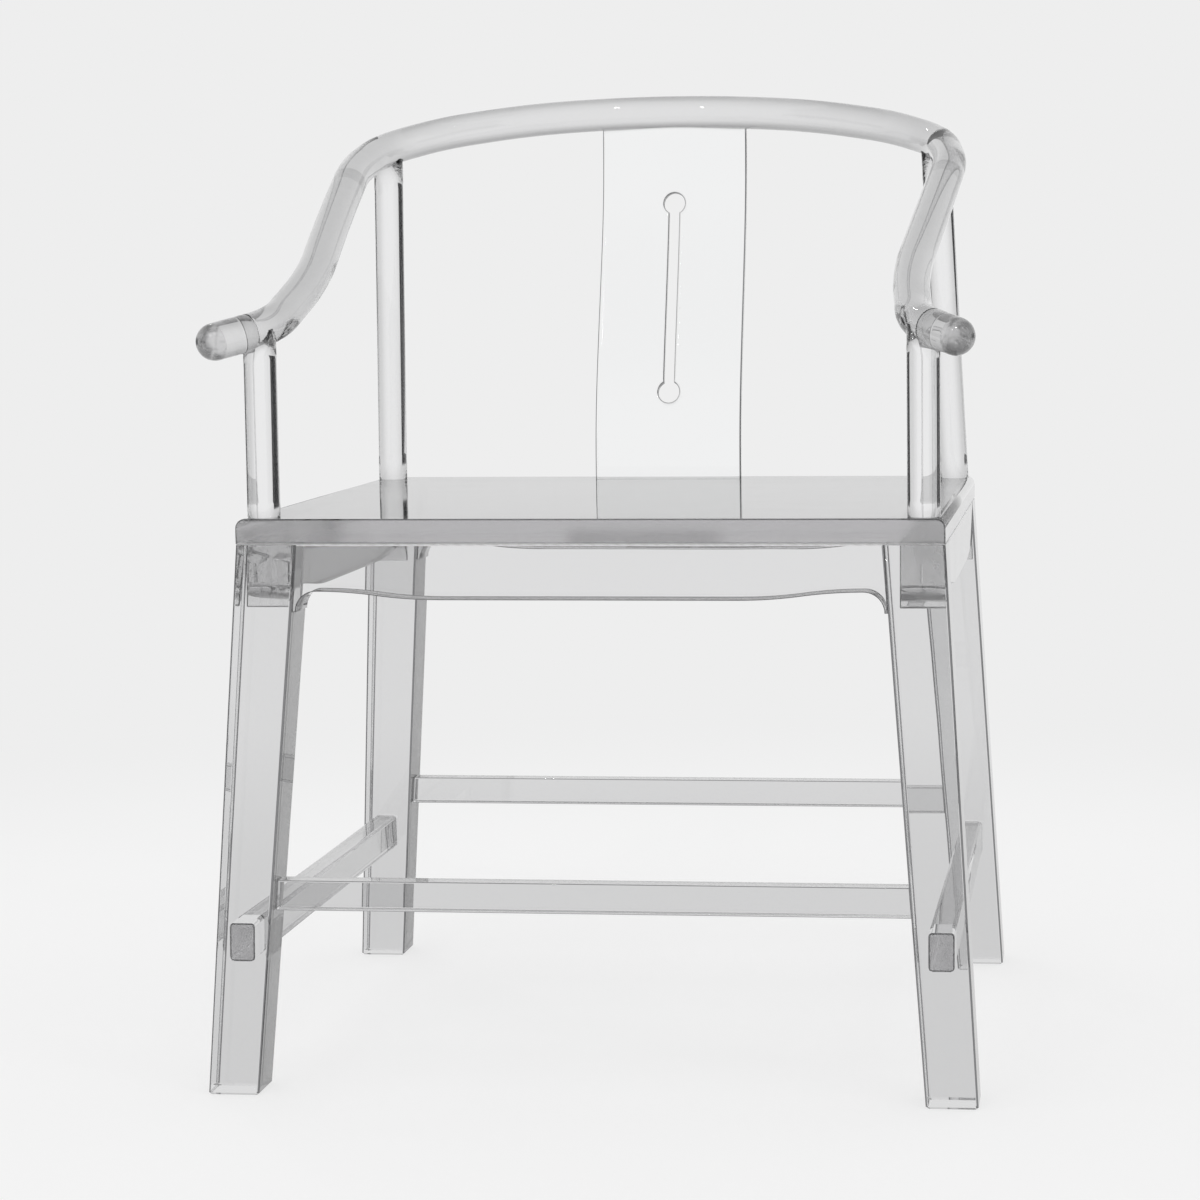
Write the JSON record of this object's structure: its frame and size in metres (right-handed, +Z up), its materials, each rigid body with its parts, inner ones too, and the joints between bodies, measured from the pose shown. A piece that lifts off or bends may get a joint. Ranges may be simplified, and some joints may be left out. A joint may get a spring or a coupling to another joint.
{
  "type": "horseshoe back armchair",
  "caption": "Clear acrylic armchair with a bent horseshoe rail, S-shaped keyhole splat, plain board seat, splayed square legs and stretchers.",
  "frame": {"origin": "on the floor, under the middle of the chair's whole width and depth", "axes": "+Z up, the front faces -Y, +X to the viewer's right when looking at the front"},
  "size_m": [0.655, 0.622, 0.867],
  "materials": {
    "clear_acrylic": "polished clear acrylic"
  },
  "bodies": {
    "root": {"back_apron": "clear_acrylic", "back_left_leg": "clear_acrylic", "back_left_post": "clear_acrylic", "back_right_leg": "clear_acrylic", "back_right_post": "clear_acrylic", "back_splat": "clear_acrylic", "back_stretcher": "clear_acrylic", "crest_rail": "clear_acrylic", "front_apron": "clear_acrylic", "front_left_leg": "clear_acrylic", "front_left_post": "clear_acrylic", "front_right_leg": "clear_acrylic", "front_right_post": "clear_acrylic", "front_stretcher": "clear_acrylic", "left_apron": "clear_acrylic", "left_arm_rail": "clear_acrylic", "left_hand_grip": "clear_acrylic", "left_stretcher": "clear_acrylic", "right_apron": "clear_acrylic", "right_arm_rail": "clear_acrylic", "right_hand_grip": "clear_acrylic", "right_stretcher": "clear_acrylic", "seat_panel": "clear_acrylic"}
  },
  "joints": []
}
